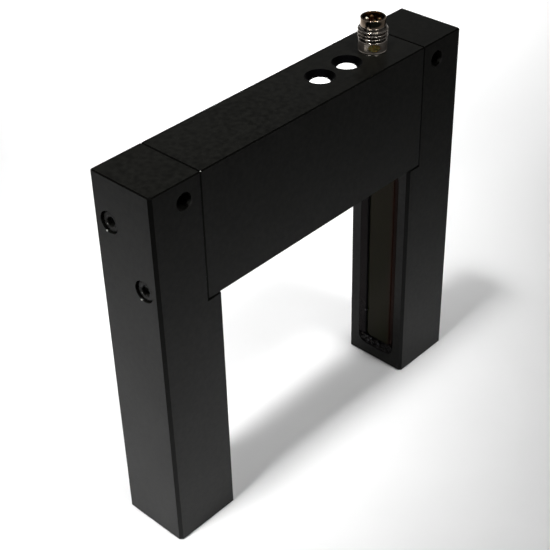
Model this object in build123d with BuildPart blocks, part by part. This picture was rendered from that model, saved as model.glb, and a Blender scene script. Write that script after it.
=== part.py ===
from build123d import *
from math import cos, radians, sin
import os

# A fork light barrier: two square legs screwed to the ends of a crossbar, all milled from
# aluminium and anodised black. One leg sends a row of light beams across the gap, the other
# receives them. The electronics are in the crossbar, with a round plug and two indicators on top.
# X runs along the crossbar, Y from the front to the back, Z up. The origin lies between the legs,
# in the plane of their feet. Lengths are in millimetres.

# Housing
leg_width = 20.0  # along X
housing_depth = 20.0  # along Y, legs and crossbar alike
gap_width = 73.0  # clear width between the legs
gap_height = 72.0  # clear height from the feet to the crossbar
bar_height = 36.0
rebate = 4.5  # how far each end of the crossbar is let into its leg
ledge_gap = 0.4  # shadow gap between the crossbar and the ledge of a leg
leg_chamfer = 0.8  # the long edge of each leg that faces left and forward
edge_break = 0.3  # the other edges of the legs, and the crossbar
seam_break = 0.25  # edges of a leg along its seam with the crossbar

# Mounting holes, bored through the legs from front to back
mount_hole_diameter = 4.5
mount_hole_inset = 10.0  # from the outer face of the leg
mount_hole_drop = 5.3  # below the top

# Cap screws that hold the crossbar between the legs
screw_diameter = 3.0
screw_length = 20.0
screw_head_diameter = 5.5
screw_head_height = 3.0
screw_head_recess = 0.5  # below the outer face of the leg
screw_head_round = 0.3
screw_tip_chamfer = 0.3
hex_across_flats = 2.5
hex_depth = 1.6
counterbore_diameter = 6.0
screw_hole_play = 0.1  # around the shank in the leg
thread_play = 0.02  # around the shank in the crossbar
upper_screw_drop = 12.5  # below the top
screw_spacing = 15.0  # in height
tapped_run_out = 1.5

# Window in the inner face of each leg
recess_width = 13.4
recess_depth = 3.0
recess_foot_margin = 4.0
recess_top_margin = 2.0  # from the underside of the crossbar
recess_corner_radius = 3.0
pane_depth = 1.0  # front of the pane, below the face of the leg
pane_side_margin = 1.95
pane_end_margin = 2.5
pane_corner_radius = 1.5
bead_depth = 0.05  # top of the sealing compound, below the face of the leg
bead_lap = 0.25  # of the compound over the pane
bead_slope = 0.1  # width over which the compound falls to the pane

# Pocket behind the window, with a narrower wire channel behind it
pocket_width = 7.5
pocket_end_margin = 1.0  # the pane's ledge at each end
board_step_depth = 11.7  # the step that carries the circuit board
pocket_floor_depth = 15.5
channel_width = 5.6
channel_top_drop = 18.0  # top of the channel, below the top of the leg
fit_play = 0.1  # around the parts in the pocket and in the crossbar

# Beams
beam_count = 8
beam_end_margin = 1.7  # from the outer lenses to the ends of their strip
lens_diameter = 6.4
lens_rise = 1.0
lens_base = 0.8
beam_bore_diameter = 4.0
leg_board_thickness = 1.2
chip_side = 2.6
chip_height = 1.0
led_dome_diameter = 2.2
led_dome_rise = 0.9
led_dome_chamfer = 0.5
photodiode_rim = 0.35
photodiode_dish = 0.25

# Crossbar cavity, open at both ends, with a groove above and below for the main board
cavity_wall = 4.0  # above and below the cavity
groove_depth = 0.8
main_board_thickness = 1.6
main_board_end_gap = 5.0  # from the left end of the crossbar
main_board_right_gap = 2.5  # from the right end
notch_drop = 7.5  # the board's lowered edge, below the top of the crossbar

# Components on the front of the main board
component_height = 14.0  # middle of the row, above the floor of the cavity
processor_x = -8.0
processor_side = 7.0
processor_thickness = 1.4
amplifier_x = -20.0
amplifier_length = 5.0
amplifier_width = 4.0
amplifier_thickness = 1.5
regulator_x = 16.0
regulator_length = 6.5
regulator_width = 3.5
regulator_thickness = 1.6
small_part_x = 4.0  # middle of the group
small_part_length = 2.0
small_part_width = 1.2
small_part_thickness = 0.6
small_part_pitch_x = 3.5
small_part_pitch_z = 4.0
small_part_columns = 3
small_part_rows = 3

# Fittings along the top of the crossbar
connector_x = 31.7
fitting_pitch = 10.35
indicator_rim_diameter = 8.1
indicator_countersink_angle = 90.0
indicator_bore_diameter = 5.4
indicator_lens_drop = 1.5  # below the top of the crossbar
indicator_lens_height = 1.7
indicator_stem_diameter = 3.2
indicator_crown = 0.2
lens_play = 0.03
indicator_led_side = 2.0
indicator_led_height = 1.2
indicator_led_gap = 0.2

# Plug connector, heights measured from the top of the crossbar
shell_base_radius = 3.87
shell_base_height = 3.1
shell_neck_radius = 3.55
thread_radius = 4.0
thread_pitch = 1.0
thread_crest_width = 0.25
thread_crests = 3
first_crest_height = 4.1
cone_top_height = 6.8
barrel_radius = 3.35
barrel_height = 9.1
barrel_bore_radius = 3.03
barrel_rim_break = 0.12
stem_radius = 3.5
stem_bore_radius = 2.45
stem_play = 0.02
insert_face_height = 5.0
insert_flange_height = 3.2  # underside of the insert's flange
insert_tail = 5.2  # below the top of the crossbar
light_guide_foot = 0.3
window_width = 3.3
window_height = 2.2
window_centre_height = 1.72
window_inset = 0.12
window_angle = 226.0  # from +X, turning towards +Y
pin_diameter = 1.0
pin_top_height = 8.7
pin_tail = 9.2  # below the top of the crossbar
pin_pitch_x = 2.0
pin_tip_round = 0.35
o_ring_section = 0.6
o_ring_drop = 2.2

# Wiring between the leg boards and the main board
lead_diameter = 1.5
lead_depth = 13.0  # below the inner face of the leg
lead_side = 1.75  # from the middle plane
lead_height = 6.0  # above the floor of the cavity
lead_bend_radius = 6.0
header_length = 5.0
header_height = 1.9
header_depth = 2.5
header_top = 55.0  # on the leg board

# Worked out from the sizes above
leg_height = gap_height + bar_height
inner_x = gap_width / 2
outer_x = inner_x + leg_width
bar_end_x = inner_x + rebate
ledge_z = gap_height - ledge_gap
mount_hole_x = outer_x - mount_hole_inset
mount_hole_z = leg_height - mount_hole_drop
upper_screw_z = leg_height - upper_screw_drop
lower_screw_z = upper_screw_z - screw_spacing
screw_offset = housing_depth / 4  # from the middle plane, one screw behind it and one before it
head_seat_x = outer_x - screw_head_recess - screw_head_height
recess_length = gap_height - recess_foot_margin - recess_top_margin
window_mid_z = recess_foot_margin + recess_length / 2
pane_width = recess_width - 2 * pane_side_margin
pane_length = recess_length - 2 * pane_end_margin
pocket_length = pane_length - 2 * pocket_end_margin
channel_top_z = leg_height - channel_top_drop
cavity_floor_z = gap_height + cavity_wall
cavity_top_z = leg_height - cavity_wall
insert_width = pocket_width - 2 * fit_play
insert_length = pocket_length - 2 * fit_play
board_front_depth = board_step_depth - leg_board_thickness
lens_back_depth = recess_depth + lens_rise + lens_base + 2 * fit_play
beam_pitch = (insert_length - 2 * beam_end_margin - lens_diameter) / (beam_count - 1)
beam_heights = [window_mid_z + beam_pitch * (i - (beam_count - 1) / 2) for i in range(beam_count)]
indicator_xs = [connector_x - 2 * fitting_pitch, connector_x - fitting_pitch]
board_edge_z = leg_height - notch_drop
pin_pitch_y = main_board_thickness + pin_diameter + 2 * thread_play
board_left_x = -bar_end_x + main_board_end_gap
board_right_x = bar_end_x - main_board_right_gap
stem_length = cavity_wall - fit_play
lead_z = cavity_floor_z + lead_height
component_z = cavity_floor_z + component_height


def leg_plane(depth):
    # A plane across the left leg, a depth below its inner face, looking out into the gap
    return Plane(origin=(-inner_x - depth, 0, 0), x_dir=(0, 1, 0), z_dir=(1, 0, 0))


def keep(finished, name):
    finished.part.label = name
    export_step(finished.part, f"parts/{name}.step")


def turned_round(finished):
    # The same piece for the other leg: half a turn about the upright axis
    with BuildPart() as turned:
        add(finished.part, rotation=(0, 0, 180))
    return turned


def leg(wide_edge_outside):
    # A square bar with a step at the top for the crossbar, drawn as the left leg. Its wide chamfer is on
    # the outer front edge, or on the inner back edge, which half a turn brings to the inner front
    with BuildPart() as bar:
        with BuildSketch(Plane.XZ):
            with BuildLine():
                Polyline(
                    (-outer_x, 0),
                    (-inner_x, 0),
                    (-inner_x, ledge_z),
                    (-bar_end_x, ledge_z),
                    (-bar_end_x, leg_height),
                    (-outer_x, leg_height),
                    close=True,
                )
            make_face()
        extrude(amount=housing_depth / 2, both=True)
        outer, seam, inner = bar.edges().filter_by(Axis.Z).group_by(Axis.X)
        outer_front, outer_back = outer.sort_by(Axis.Y)
        inner_front, inner_back = inner.sort_by(Axis.Y)
        if wide_edge_outside:
            chamfer(outer_front, leg_chamfer)
            chamfer([outer_back, inner_front, inner_back], edge_break)
        else:
            chamfer(inner_back, leg_chamfer)
            chamfer([outer_back, outer_front, inner_front], edge_break)
        chamfer(seam, seam_break)
        chamfer(bar.faces().sort_by(Axis.Z)[-1].edges(), edge_break)
        chamfer(bar.faces().sort_by(Axis.Z)[0].edges(), edge_break)

        # Window recess, pocket and wire channel, milled from the inner face
        with BuildSketch(leg_plane(recess_depth)):
            with Locations((0, window_mid_z)):
                RectangleRounded(recess_width, recess_length, recess_corner_radius)
        extrude(amount=recess_depth, mode=Mode.SUBTRACT)
        with BuildSketch(leg_plane(board_step_depth)):
            with Locations((0, window_mid_z)):
                Rectangle(pocket_width, pocket_length)
        extrude(amount=board_step_depth - recess_depth, mode=Mode.SUBTRACT)
        channel_foot_z = window_mid_z - pocket_length / 2
        with BuildSketch(leg_plane(pocket_floor_depth)):
            with Locations((0, channel_foot_z)):
                Rectangle(channel_width, channel_top_z - channel_foot_z, align=(Align.CENTER, Align.MIN))
        extrude(amount=pocket_floor_depth - board_step_depth, mode=Mode.SUBTRACT)
        with BuildSketch(leg_plane(board_step_depth)):
            with Locations((0, cavity_floor_z)):
                Rectangle(channel_width, channel_top_z - cavity_floor_z, align=(Align.CENTER, Align.MIN))
        extrude(amount=board_step_depth - rebate, mode=Mode.SUBTRACT)

        # Mounting hole from front to back, and the two counterbored screw holes
        with Locations(Plane(origin=(-mount_hole_x, -housing_depth / 2, mount_hole_z), z_dir=(0, -1, 0))):
            Hole(mount_hole_diameter / 2)
        with Locations(
            Plane(origin=(-outer_x, screw_offset, upper_screw_z), z_dir=(-1, 0, 0)),
            Plane(origin=(-outer_x, -screw_offset, lower_screw_z), z_dir=(-1, 0, 0)),
        ):
            CounterBoreHole(
                screw_diameter / 2 + screw_hole_play,
                counterbore_diameter / 2,
                screw_head_recess + screw_head_height,
            )
    return bar


os.makedirs("parts", exist_ok=True)

keep(leg(True), "left_leg")
keep(turned_round(leg(False)), "right_leg")

# Crossbar: a solid bar with a slot from end to end that takes the main board
with BuildPart() as crossbar:
    with Locations((0, 0, gap_height + bar_height / 2)):
        Box(2 * bar_end_x, housing_depth, bar_height)
    chamfer(crossbar.edges(), edge_break)
    with Locations((0, 0, (cavity_floor_z + cavity_top_z) / 2)):
        Box(2 * bar_end_x, channel_width, cavity_top_z - cavity_floor_z, mode=Mode.SUBTRACT)
        Box(
            2 * bar_end_x,
            main_board_thickness + fit_play,
            cavity_top_z - cavity_floor_z + 2 * groove_depth,
            mode=Mode.SUBTRACT,
        )
    with Locations(*[(x, 0, leg_height) for x in indicator_xs]):
        CounterSinkHole(
            indicator_bore_diameter / 2,
            indicator_rim_diameter / 2,
            depth=cavity_wall,
            counter_sink_angle=indicator_countersink_angle,
        )
    with Locations((connector_x, 0, leg_height)):
        Hole(stem_radius + stem_play, depth=cavity_wall)
    tapped_depth = screw_length - (head_seat_x - bar_end_x) + tapped_run_out
    with Locations(
        Plane(origin=(-bar_end_x, screw_offset, upper_screw_z), z_dir=(-1, 0, 0)),
        Plane(origin=(-bar_end_x, -screw_offset, lower_screw_z), z_dir=(-1, 0, 0)),
        Plane(origin=(bar_end_x, -screw_offset, upper_screw_z), z_dir=(1, 0, 0)),
        Plane(origin=(bar_end_x, screw_offset, lower_screw_z), z_dir=(1, 0, 0)),
    ):
        Hole(screw_diameter / 2 + thread_play, depth=tapped_depth)
keep(crossbar, "crossbar")


def cap_screw(y, z):
    # A socket head cap screw in the left leg, its head towards the outer face
    head_top_x = head_seat_x + screw_head_height
    with BuildPart() as screw:
        with BuildSketch(Plane(origin=(-head_top_x, y, z), x_dir=(0, 1, 0), z_dir=(1, 0, 0))):
            Circle(screw_head_diameter / 2)
        extrude(amount=screw_head_height)
        fillet(screw.edges().filter_by(GeomType.CIRCLE).sort_by(Axis.X)[0], screw_head_round)
        with BuildSketch(Plane(origin=(-head_seat_x, y, z), x_dir=(0, 1, 0), z_dir=(1, 0, 0))):
            Circle(screw_diameter / 2)
        extrude(amount=screw_length)
        chamfer(screw.edges().filter_by(GeomType.CIRCLE).sort_by(Axis.X)[-1], screw_tip_chamfer)
        with BuildSketch(Plane(origin=(-head_top_x, y, z), x_dir=(0, 1, 0), z_dir=(1, 0, 0))):
            RegularPolygon(hex_across_flats / 2, 6, major_radius=False)
        extrude(amount=hex_depth, mode=Mode.SUBTRACT)
    return screw


upper_screw = cap_screw(screw_offset, upper_screw_z)
lower_screw = cap_screw(-screw_offset, lower_screw_z)
keep(upper_screw, "left_upper_screw")
keep(lower_screw, "left_lower_screw")
keep(turned_round(upper_screw), "right_upper_screw")
keep(turned_round(lower_screw), "right_lower_screw")

# Window pane: a flat filter bonded on the ledge around the pocket
with BuildPart() as window:
    with BuildSketch(leg_plane(recess_depth)):
        with Locations((0, window_mid_z)):
            RectangleRounded(pane_width, pane_length, pane_corner_radius)
    extrude(amount=recess_depth - pane_depth)
keep(window, "emitter_window")
keep(turned_round(window), "receiver_window")

# Sealing compound between the pane and the wall of the recess, with a steep lip on the pane
with BuildPart() as window_seal:
    with BuildSketch(leg_plane(recess_depth)):
        with Locations((0, window_mid_z)):
            RectangleRounded(recess_width, recess_length, recess_corner_radius)
    extrude(amount=recess_depth - bead_depth)
    with BuildSketch(leg_plane(recess_depth)):
        with Locations((0, window_mid_z)):
            RectangleRounded(pane_width, pane_length, pane_corner_radius)
    extrude(amount=recess_depth - pane_depth, mode=Mode.SUBTRACT)
    for depth, lap in ((pane_depth, bead_lap), (bead_depth, bead_lap - bead_slope)):
        with BuildSketch(leg_plane(depth)):
            with Locations((0, window_mid_z)):
                RectangleRounded(pane_width - 2 * lap, pane_length - 2 * lap, pane_corner_radius - lap)
    loft(mode=Mode.SUBTRACT)
keep(window_seal, "emitter_window_seal")
keep(turned_round(window_seal), "receiver_window_seal")

# Lens strip: a moulding with one lens for each beam
with BuildPart() as lens_strip:
    with BuildSketch(leg_plane(lens_back_depth)):
        with Locations((0, window_mid_z)):
            Rectangle(insert_width, insert_length)
    extrude(amount=lens_base)
    with BuildSketch(Plane.XZ):
        with BuildLine():
            crown = (lens_rise, 0)
            rim = (0, lens_diameter / 2)
            lens_radius = (lens_rise**2 + (lens_diameter / 2) ** 2) / (2 * lens_rise)
            RadiusArc(crown, rim, -lens_radius)
            Polyline(rim, (0, 0), crown)
        make_face()
    lens = revolve(axis=Axis.X, mode=Mode.PRIVATE)
    with Locations(*[(-inner_x - lens_back_depth + lens_base, 0, z) for z in beam_heights]):
        add(lens)
keep(lens_strip, "emitter_lens_strip")
keep(turned_round(lens_strip), "receiver_lens_strip")

# Aperture block: a black moulding with one bore for each beam, between lenses and board
with BuildPart() as aperture_block:
    with BuildSketch(leg_plane(board_front_depth)):
        with Locations((0, window_mid_z)):
            Rectangle(insert_width, insert_length)
        with Locations(*[(0, z) for z in beam_heights]):
            Circle(beam_bore_diameter / 2, mode=Mode.SUBTRACT)
    extrude(amount=board_front_depth - lens_back_depth)
keep(aperture_block, "emitter_aperture_block")
keep(turned_round(aperture_block), "receiver_aperture_block")

# Leg board, resting on the step of the pocket
with BuildPart() as leg_board:
    with BuildSketch(leg_plane(board_step_depth)):
        with Locations((0, window_mid_z)):
            Rectangle(insert_width, insert_length)
    extrude(amount=leg_board_thickness)
keep(leg_board, "emitter_board")
keep(turned_round(leg_board), "receiver_board")

# Emitter diodes: square packages with a domed lens, one in each bore
with BuildPart() as emitter_diodes:
    with BuildSketch(leg_plane(board_front_depth)):
        with Locations(*[(0, z) for z in beam_heights]):
            Rectangle(chip_side, chip_side)
    extrude(amount=chip_height)
    with BuildSketch(leg_plane(board_front_depth - chip_height)):
        with Locations(*[(0, z) for z in beam_heights]):
            Circle(led_dome_diameter / 2)
    extrude(amount=led_dome_rise)
    dome_rims = emitter_diodes.edges().filter_by(GeomType.CIRCLE).group_by(Axis.X)[-1]
    chamfer(dome_rims, led_dome_chamfer)
keep(emitter_diodes, "emitter_diodes")

# Receiver diodes: square packages with a shallow round dish
with BuildPart() as receiver_diodes_left:
    with BuildSketch(leg_plane(board_front_depth)):
        with Locations(*[(0, z) for z in beam_heights]):
            Rectangle(chip_side, chip_side)
    extrude(amount=chip_height)
    with BuildSketch(leg_plane(board_front_depth - chip_height)):
        with Locations(*[(0, z) for z in beam_heights]):
            Circle(chip_side / 2 - photodiode_rim)
    extrude(amount=-photodiode_dish, mode=Mode.SUBTRACT)
keep(turned_round(receiver_diodes_left), "receiver_diodes")

# Wire socket on the back of the leg board
with BuildPart() as leg_header:
    with BuildSketch(leg_plane(board_step_depth + header_depth)):
        with Locations((0, header_top)):
            Rectangle(channel_width - 2 * fit_play, header_length, align=(Align.CENTER, Align.MAX))
    extrude(amount=header_depth)
keep(leg_header, "emitter_board_socket")
keep(turned_round(leg_header), "receiver_board_socket")

# Leads in one sleeve, from the leg board up the wire channel and into the crossbar
with BuildPart() as leads:
    lead_x = -inner_x - lead_depth
    with BuildLine() as lead_route:
        FilletPolyline(
            (lead_x, -lead_side, header_top),
            (lead_x, -lead_side, lead_z),
            (board_left_x, -lead_side, lead_z),
            radius=lead_bend_radius,
        )
    with BuildSketch(Plane(origin=(lead_x, -lead_side, header_top), z_dir=(0, 0, 1))):
        Circle(lead_diameter / 2)
    sweep(path=lead_route.wire())
keep(leads, "emitter_leads")
keep(turned_round(leads), "receiver_leads")

# Main board, upright in the grooves of the crossbar, lowered under the plug and the indicators
with BuildPart() as main_board:
    board_foot_z = cavity_floor_z - groove_depth + fit_play
    board_top_z = cavity_top_z + groove_depth - fit_play
    notch_left_x = indicator_xs[0] - fitting_pitch / 2
    notch_right_x = connector_x + fitting_pitch / 2 - fit_play
    with BuildSketch(Plane.XZ):
        with BuildLine():
            Polyline(
                (board_left_x, board_foot_z),
                (board_right_x, board_foot_z),
                (board_right_x, board_top_z),
                (notch_right_x, board_top_z),
                (notch_right_x, board_edge_z),
                (notch_left_x, board_edge_z),
                (notch_left_x, board_top_z),
                (board_left_x, board_top_z),
                close=True,
            )
        make_face()
    extrude(amount=main_board_thickness / 2, both=True)
keep(main_board, "main_board")


def on_front(x, length, width, thickness):
    # A flat component in the row on the front of the main board
    with BuildPart() as component:
        with BuildSketch(Plane.XZ.offset(main_board_thickness / 2)):
            with Locations((x, component_z)):
                Rectangle(length, width)
        extrude(amount=thickness)
    return component


processor = on_front(processor_x, processor_side, processor_side, processor_thickness)
amplifier = on_front(amplifier_x, amplifier_length, amplifier_width, amplifier_thickness)
regulator = on_front(regulator_x, regulator_length, regulator_width, regulator_thickness)
keep(processor, "processor")
keep(amplifier, "signal_amplifier")
keep(regulator, "voltage_regulator")

with BuildPart() as small_components:
    with BuildSketch(Plane.XZ.offset(main_board_thickness / 2)):
        with Locations((small_part_x, component_z)):
            with GridLocations(
                small_part_pitch_x, small_part_pitch_z, small_part_columns, small_part_rows
            ):
                Rectangle(small_part_length, small_part_width)
    extrude(amount=small_part_thickness)
keep(small_components, "small_components")

# Socket for the leads at each end of the main board
with BuildPart() as main_header:
    with BuildSketch(Plane.XZ.offset(main_board_thickness / 2)):
        with Locations((board_left_x, lead_z)):
            Rectangle(header_length, header_length, align=(Align.MIN, Align.CENTER))
    extrude(amount=header_height)
keep(main_header, "emitter_leads_socket")
keep(turned_round(main_header), "receiver_leads_socket")


def indicator_diode(x):
    # A small light on the lowered edge of the main board
    with BuildPart() as diode:
        with BuildSketch(Plane.XY.offset(board_edge_z)):
            with Locations((x, 0)):
                Rectangle(indicator_led_side, indicator_led_side)
        extrude(amount=indicator_led_height)
    return diode


def indicator_lens(x):
    # A white lens in its bore, with a stem that leads the light up from the board
    lens_top_z = leg_height - indicator_lens_drop
    lens_foot_z = lens_top_z - indicator_lens_height
    stem_foot_z = board_edge_z + indicator_led_height + indicator_led_gap
    with BuildPart() as indicator:
        with BuildSketch(Plane.XY.offset(stem_foot_z)):
            with Locations((x, 0)):
                Circle(indicator_stem_diameter / 2)
        extrude(amount=lens_foot_z - stem_foot_z)
        with BuildSketch(Plane.XY.offset(lens_foot_z)):
            with Locations((x, 0)):
                Circle(indicator_bore_diameter / 2 - lens_play)
        extrude(amount=indicator_lens_height)
        fillet(indicator.edges().filter_by(GeomType.CIRCLE).sort_by(Axis.Z)[-1], indicator_crown)
    return indicator


for side, x in zip(("left", "right"), indicator_xs):
    keep(indicator_diode(x), f"{side}_indicator_diode")
    keep(indicator_lens(x), f"{side}_indicator_lens")

# Plug shell: turned, with a collar on the crossbar, a short thread, a cone and a thin barrel
connector_axis = Axis((connector_x, 0, leg_height), (0, 0, 1))
shell_plane = Plane(origin=(connector_x, 0, leg_height), x_dir=(1, 0, 0), z_dir=(0, -1, 0))
o_ring_centre_radius = stem_radius - o_ring_section / 2
window_plane = Plane(
    origin=(connector_x, 0, leg_height),
    x_dir=(-sin(radians(window_angle)), cos(radians(window_angle)), 0),
    z_dir=(cos(radians(window_angle)), sin(radians(window_angle)), 0),
)
with BuildPart() as connector_shell:
    with BuildSketch(shell_plane):
        with BuildLine():
            crests = []
            for i in range(thread_crests):
                height = first_crest_height + i * thread_pitch
                crests += [
                    (shell_neck_radius, height - thread_pitch / 2),
                    (thread_radius, height - thread_crest_width / 2),
                    (thread_radius, height + thread_crest_width / 2),
                ]
            Polyline(
                (stem_bore_radius, -stem_length),
                (stem_radius, -stem_length),
                (stem_radius, 0),
                (shell_base_radius - barrel_rim_break, 0),
                (shell_base_radius, barrel_rim_break),
                (shell_base_radius, shell_base_height - barrel_rim_break),
                (shell_base_radius - barrel_rim_break, shell_base_height),
                (shell_neck_radius, shell_base_height),
                *crests,
                (barrel_radius, cone_top_height),
                (barrel_radius, barrel_height - barrel_rim_break),
                (barrel_radius - barrel_rim_break, barrel_height),
                (barrel_bore_radius, barrel_height),
                (barrel_bore_radius, light_guide_foot),
                (stem_bore_radius, light_guide_foot),
                close=True,
            )
        make_face()
        with Locations((stem_radius, -o_ring_drop)):
            Rectangle(o_ring_section, o_ring_section, align=(Align.MAX, Align.CENTER), mode=Mode.SUBTRACT)
    revolve(axis=connector_axis)
    with BuildSketch(window_plane):
        with Locations((0, window_centre_height)):
            Ellipse(window_width / 2, window_height / 2)
    extrude(amount=thread_radius, mode=Mode.SUBTRACT)
keep(connector_shell, "connector_shell")

# Light guide: an amber ring in the collar, with a lug that fills the window
guide_radius = barrel_bore_radius - lens_play
with BuildPart() as light_guide:
    with BuildSketch(window_plane):
        with Locations((0, window_centre_height)):
            Ellipse(window_width / 2 - lens_play, window_height / 2 - lens_play)
    extrude(amount=thread_radius)
    with BuildSketch(Plane.XY.offset(leg_height + light_guide_foot)):
        with Locations((connector_x, 0)):
            Circle(shell_base_radius - window_inset)
    extrude(amount=shell_base_height, mode=Mode.INTERSECT)
    with BuildSketch(Plane.XY.offset(leg_height + light_guide_foot)):
        with Locations((connector_x, 0)):
            Circle(guide_radius)
    extrude(amount=insert_flange_height - light_guide_foot)
    with BuildSketch(Plane.XY.offset(leg_height + light_guide_foot)):
        with Locations((connector_x, 0)):
            Circle(stem_bore_radius)
    extrude(amount=insert_flange_height - light_guide_foot, mode=Mode.SUBTRACT)
keep(light_guide, "connector_light_guide")

pin_places = [
    (connector_x + sx * pin_pitch_x / 2, sy * pin_pitch_y / 2) for sx in (-1, 1) for sy in (-1, 1)
]

# Insulating insert that carries the contact pins
with BuildPart() as connector_insert:
    with BuildSketch(Plane.XY.offset(leg_height - insert_tail)):
        with Locations((connector_x, 0)):
            Circle(stem_bore_radius - lens_play)
    extrude(amount=insert_tail + insert_flange_height)
    with BuildSketch(Plane.XY.offset(leg_height + insert_flange_height)):
        with Locations((connector_x, 0)):
            Circle(barrel_bore_radius - lens_play)
    extrude(amount=insert_face_height - insert_flange_height)
    with BuildSketch(Plane.XY.offset(leg_height - insert_tail)):
        with Locations(*pin_places):
            Circle(pin_diameter / 2 + thread_play)
    extrude(amount=insert_tail + insert_face_height, mode=Mode.SUBTRACT)
keep(connector_insert, "connector_insert")

# Contact pins, with tails soldered to both faces of the main board
with BuildPart() as contact_pins:
    with BuildSketch(Plane.XY.offset(leg_height - pin_tail)):
        with Locations(*pin_places):
            Circle(pin_diameter / 2)
    extrude(amount=pin_tail + pin_top_height)
    fillet(contact_pins.edges().filter_by(GeomType.CIRCLE).group_by(Axis.Z)[-1], pin_tip_round)
keep(contact_pins, "contact_pins")

# Sealing ring in the groove of the shell's stem
with BuildPart() as o_ring:
    with BuildSketch(shell_plane):
        with Locations((o_ring_centre_radius, -o_ring_drop)):
            Circle(o_ring_section / 2 - stem_play)
    revolve(axis=connector_axis)
keep(o_ring, "connector_seal_ring")
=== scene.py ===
import math

import bmesh
import bpy
from mathutils import Matrix, Quaternion, Vector, noise


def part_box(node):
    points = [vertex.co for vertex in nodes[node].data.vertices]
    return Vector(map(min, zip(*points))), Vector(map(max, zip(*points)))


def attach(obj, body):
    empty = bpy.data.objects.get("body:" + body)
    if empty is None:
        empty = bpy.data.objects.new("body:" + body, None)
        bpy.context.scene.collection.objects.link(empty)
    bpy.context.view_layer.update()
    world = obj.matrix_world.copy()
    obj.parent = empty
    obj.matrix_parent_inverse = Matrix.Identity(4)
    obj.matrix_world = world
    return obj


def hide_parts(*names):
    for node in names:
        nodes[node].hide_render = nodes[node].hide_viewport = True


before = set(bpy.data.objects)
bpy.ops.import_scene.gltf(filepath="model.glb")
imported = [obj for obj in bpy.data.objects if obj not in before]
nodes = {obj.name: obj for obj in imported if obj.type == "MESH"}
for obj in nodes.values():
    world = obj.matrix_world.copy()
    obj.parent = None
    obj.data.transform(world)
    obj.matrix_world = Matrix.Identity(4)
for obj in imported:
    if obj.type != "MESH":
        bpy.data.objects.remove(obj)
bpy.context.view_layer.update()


# The legs. Two square bars of aluminium, milled from the solid, blasted and anodised satin black. The
# long corner at the left of each front has a wide chamfer, and a step at the top takes the crossbar.
# They stand on their feet.

mm = 0.001
anodised_colour = (0.0022, 0.0022, 0.0017)
anodised_pale = (0.0062, 0.0062, 0.0052)
anodised_wear = (0.010, 0.010, 0.009)
chamfer_shade_colour = (0.0018, 0.0018, 0.0015)
bore_shade_colour = (0.0010, 0.0010, 0.0012)
dust_colour = (0.045, 0.045, 0.040)
# The colour of the painted glints
painted_glint_colour = (0.42, 0.42, 0.40)
hole_light_colour = (0.024, 0.024, 0.022)
chamfer_roughness = 0.16
bore_roughness = 0.6


def add_node(tree, kind, inputs=None, **settings):
    # One shader node; an input is a fixed value or the output of another node
    made = tree.nodes.new(kind)
    for key, value in settings.items():
        setattr(made, key, value)
    for key, value in (inputs or {}).items():
        if isinstance(value, bpy.types.NodeSocket):
            tree.links.new(value, made.inputs[key])
        else:
            made.inputs[key].default_value = value
    return made


def new_finish(name, colour, roughness, sockets=None):
    # A material with its even values set; what varies over the surface is linked in afterwards
    finish = bpy.data.materials.new(name)
    finish.use_nodes = True
    shader = finish.node_tree.nodes["Principled BSDF"]
    shader.inputs["Base Color"].default_value = (*colour, 1)
    shader.inputs["Roughness"].default_value = roughness
    for key, value in (sockets or {}).items():
        shader.inputs[key].default_value = value
    return finish, finish.node_tree, shader


def link_in(tree, shader, tone=None, sheen=None, bump=None):
    # What varies over the surface: its colour, its roughness and its bumps
    for key, value in (("Base Color", tone), ("Roughness", sheen), ("Normal", bump)):
        if value is not None:
            tree.links.new(value, shader.inputs[key])


def reckon(tree, operation, *values, **settings):
    # A sum with numbers, such as ADD or MAXIMUM
    inputs = dict(enumerate(values))
    return add_node(tree, "ShaderNodeMath", inputs, operation=operation, **settings).outputs[0]


def times(tree, first, second):
    return reckon(tree, "MULTIPLY", first, second)


def reckon_vector(tree, operation, *values):
    # A sum with places or directions, which gives another one or a length
    made = add_node(tree, "ShaderNodeVectorMath", dict(enumerate(values)), operation=operation)
    gives_length = operation in ("DISTANCE", "DOT_PRODUCT", "LENGTH")
    return made.outputs["Value" if gives_length else "Vector"]


def on_piece(tree):
    # The place on the piece, which goes with it when it moves
    return add_node(tree, "ShaderNodeTexCoord").outputs["Object"]


def from_axis(tree, axis):
    # The distance from an upright axis
    apart = reckon_vector(tree, "SUBTRACT", on_piece(tree), (axis.x, axis.y, 0))
    return reckon_vector(tree, "LENGTH", reckon_vector(tree, "MULTIPLY", apart, (1, 1, 0)))


def grain(tree, width, stretch=(1, 1, 1), detail=3.0):
    # Noise fixed to the piece; width is that of a grain, in metres
    drawn = reckon_vector(tree, "MULTIPLY", on_piece(tree), stretch)
    inputs = {"Vector": drawn, "Scale": 1 / width, "Detail": detail}
    return add_node(tree, "ShaderNodeTexNoise", inputs).outputs[0]


def between(tree, value, low, high, start=0.35, end=0.65):
    # The value's range from start to end, spread over low to high
    spread = {"Value": value, "From Min": start, "From Max": end, "To Min": low, "To Max": high}
    return add_node(tree, "ShaderNodeMapRange", spread).outputs["Result"]


def rising(tree, value, start, end):
    # 0 up to the start, 1 from the end on
    return between(tree, value, 0.0, 1.0, start, end)


def falling(tree, value, start, end):
    # 1 up to the start, 0 from the end on
    return between(tree, value, 1.0, 0.0, start, end)


def blend_values(tree, share, first, second):
    inputs = {0: share, 2: first, 3: second}
    return add_node(tree, "ShaderNodeMix", inputs, data_type="FLOAT").outputs[0]


def blend_colours(tree, share, first, second, blend="MIX"):
    mix = add_node(tree, "ShaderNodeMix", {0: share}, data_type="RGBA", blend_type=blend)
    for place, colour in ((6, first), (7, second)):
        if isinstance(colour, bpy.types.NodeSocket):
            tree.links.new(colour, mix.inputs[place])
        else:
            mix.inputs[place].default_value = (*colour, 1)
    return mix.outputs[2]


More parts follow.
